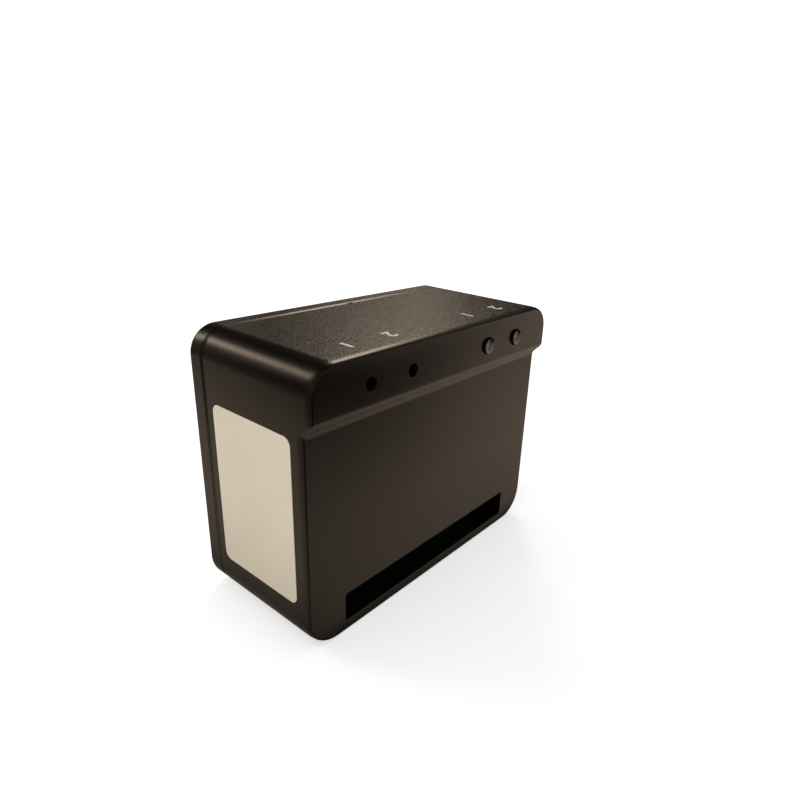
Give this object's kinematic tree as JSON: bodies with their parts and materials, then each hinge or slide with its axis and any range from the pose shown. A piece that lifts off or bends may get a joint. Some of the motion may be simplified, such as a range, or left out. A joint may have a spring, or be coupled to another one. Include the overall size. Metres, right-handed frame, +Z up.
{
  "type": "garage door controller",
  "caption": "Small black wall box with a stepped front band for indicator lamps and push buttons, a screwdriver slot to screw terminals and a clipped back cover.",
  "frame": {"origin": "centre of the whole part's footprint, at the level of the base it stands on", "axes": "+X across the front to the right, +Y from the front to the back cover, +Z up"},
  "size_m": [0.0701, 0.0344, 0.0553],
  "materials": {
    "case_black": "fine grained satin moulding",
    "label_paper": "matt printed-label stock, blank",
    "board_green": "solder mask",
    "steel": "nickel-plated steel",
    "terminal_green": "moulded polyamide",
    "contact_brass": "tin-plated brass",
    "button_black": "satin",
    "switch_black": "moulded",
    "led_lens": "clear diffused epoxy",
    "relay_blue": "moulded",
    "radio_blue": "solder mask",
    "can_sleeve": "shrunk sleeve",
    "ferrite": "ferrite",
    "chip_black": "moulded epoxy"
  },
  "bodies": {
    "case": {"front_case": "case_black", "back_cover": "case_black", "side_label": "label_paper", "main_board": "board_green", "board_screws": "steel", "terminal_housing": "terminal_green", "terminal_contacts": "contact_brass", "button_1_base": "switch_black", "button_2_base": "switch_black", "button_frames": "steel", "button_domes": "contact_brass", "button_legs": "steel", "led_1": "led_lens", "led_2": "led_lens", "led_spacers": "switch_black", "led_leads": "steel", "relay_1_case": "relay_blue", "relay_1_base": "switch_black", "relay_2_case": "relay_blue", "relay_2_base": "switch_black", "radio_board": "radio_blue", "radio_shield": "steel", "input_capacitor": "can_sleeve", "output_capacitor": "can_sleeve", "power_inductor": "ferrite", "regulator_body": "chip_black", "regulator_legs": "steel", "power_diodes": "chip_black", "relay_drivers": "chip_black", "chip_resistors": "chip_black"},
    "button_1": {"button_1_plunger": "button_black"},
    "button_2": {"button_2_plunger": "button_black"},
    "screw_01": {"terminal_screw_01": "steel"},
    "clamp_01": {"terminal_clamp_01": "steel"},
    "screw_02": {"terminal_screw_02": "steel"},
    "clamp_02": {"terminal_clamp_02": "steel"},
    "screw_03": {"terminal_screw_03": "steel"},
    "clamp_03": {"terminal_clamp_03": "steel"},
    "screw_04": {"terminal_screw_04": "steel"},
    "clamp_04": {"terminal_clamp_04": "steel"},
    "screw_05": {"terminal_screw_05": "steel"},
    "clamp_05": {"terminal_clamp_05": "steel"},
    "screw_06": {"terminal_screw_06": "steel"},
    "clamp_06": {"terminal_clamp_06": "steel"},
    "screw_07": {"terminal_screw_07": "steel"},
    "clamp_07": {"terminal_clamp_07": "steel"},
    "screw_08": {"terminal_screw_08": "steel"},
    "clamp_08": {"terminal_clamp_08": "steel"},
    "screw_09": {"terminal_screw_09": "steel"},
    "clamp_09": {"terminal_clamp_09": "steel"},
    "screw_10": {"terminal_screw_10": "steel"},
    "clamp_10": {"terminal_clamp_10": "steel"}
  },
  "joints": [
    {"name": "button_1_press", "type": "slide", "parent": "case", "child": "button_1", "axis": [0, 1, 0], "range_m": [0, 0.00025], "stiffness_N_per_m": 4000},
    {"name": "button_2_press", "type": "slide", "parent": "case", "child": "button_2", "axis": [0, 1, 0], "range_m": [0, 0.00025], "stiffness_N_per_m": 4000},
    {"name": "screw_01_turn", "type": "hinge", "parent": "case", "child": "screw_01", "pos_m": [-0.02286, -0.00735, 0.0057], "axis": [0, 1, 0], "range_deg": [0, 1040]},
    {"name": "clamp_01_rise", "type": "slide", "parent": "case", "child": "clamp_01", "axis": [0, -1, 0], "range_m": [0, 0.0013]},
    {"name": "screw_02_turn", "type": "hinge", "parent": "case", "child": "screw_02", "pos_m": [-0.01778, -0.00735, 0.0057], "axis": [0, 1, 0], "range_deg": [0, 1040]},
    {"name": "clamp_02_rise", "type": "slide", "parent": "case", "child": "clamp_02", "axis": [0, -1, 0], "range_m": [0, 0.0013]},
    {"name": "screw_03_turn", "type": "hinge", "parent": "case", "child": "screw_03", "pos_m": [-0.0127, -0.00735, 0.0057], "axis": [0, 1, 0], "range_deg": [0, 1040]},
    {"name": "clamp_03_rise", "type": "slide", "parent": "case", "child": "clamp_03", "axis": [0, -1, 0], "range_m": [0, 0.0013]},
    {"name": "screw_04_turn", "type": "hinge", "parent": "case", "child": "screw_04", "pos_m": [-0.00762, -0.00735, 0.0057], "axis": [0, 1, 0], "range_deg": [0, 1040]},
    {"name": "clamp_04_rise", "type": "slide", "parent": "case", "child": "clamp_04", "axis": [0, -1, 0], "range_m": [0, 0.0013]},
    {"name": "screw_05_turn", "type": "hinge", "parent": "case", "child": "screw_05", "pos_m": [-0.00254, -0.00735, 0.0057], "axis": [0, 1, 0], "range_deg": [0, 1040]},
    {"name": "clamp_05_rise", "type": "slide", "parent": "case", "child": "clamp_05", "axis": [0, -1, 0], "range_m": [0, 0.0013]},
    {"name": "screw_06_turn", "type": "hinge", "parent": "case", "child": "screw_06", "pos_m": [0.00254, -0.00735, 0.0057], "axis": [0, 1, 0], "range_deg": [0, 1040]},
    {"name": "clamp_06_rise", "type": "slide", "parent": "case", "child": "clamp_06", "axis": [0, -1, 0], "range_m": [0, 0.0013]},
    {"name": "screw_07_turn", "type": "hinge", "parent": "case", "child": "screw_07", "pos_m": [0.00762, -0.00735, 0.0057], "axis": [0, 1, 0], "range_deg": [0, 1040]},
    {"name": "clamp_07_rise", "type": "slide", "parent": "case", "child": "clamp_07", "axis": [0, -1, 0], "range_m": [0, 0.0013]},
    {"name": "screw_08_turn", "type": "hinge", "parent": "case", "child": "screw_08", "pos_m": [0.0127, -0.00735, 0.0057], "axis": [0, 1, 0], "range_deg": [0, 1040]},
    {"name": "clamp_08_rise", "type": "slide", "parent": "case", "child": "clamp_08", "axis": [0, -1, 0], "range_m": [0, 0.0013]},
    {"name": "screw_09_turn", "type": "hinge", "parent": "case", "child": "screw_09", "pos_m": [0.01778, -0.00735, 0.0057], "axis": [0, 1, 0], "range_deg": [0, 1040]},
    {"name": "clamp_09_rise", "type": "slide", "parent": "case", "child": "clamp_09", "axis": [0, -1, 0], "range_m": [0, 0.0013]},
    {"name": "screw_10_turn", "type": "hinge", "parent": "case", "child": "screw_10", "pos_m": [0.02286, -0.00735, 0.0057], "axis": [0, 1, 0], "range_deg": [0, 1040]},
    {"name": "clamp_10_rise", "type": "slide", "parent": "case", "child": "clamp_10", "axis": [0, -1, 0], "range_m": [0, 0.0013]}
  ],
  "couplings": [
    {"joint": "screw_01_turn", "follows": "clamp_01_rise", "rad_per_m": 13963},
    {"joint": "screw_02_turn", "follows": "clamp_02_rise", "rad_per_m": 13963},
    {"joint": "screw_03_turn", "follows": "clamp_03_rise", "rad_per_m": 13963},
    {"joint": "screw_04_turn", "follows": "clamp_04_rise", "rad_per_m": 13963},
    {"joint": "screw_05_turn", "follows": "clamp_05_rise", "rad_per_m": 13963},
    {"joint": "screw_06_turn", "follows": "clamp_06_rise", "rad_per_m": 13963},
    {"joint": "screw_07_turn", "follows": "clamp_07_rise", "rad_per_m": 13963},
    {"joint": "screw_08_turn", "follows": "clamp_08_rise", "rad_per_m": 13963},
    {"joint": "screw_09_turn", "follows": "clamp_09_rise", "rad_per_m": 13963},
    {"joint": "screw_10_turn", "follows": "clamp_10_rise", "rad_per_m": 13963}
  ]
}
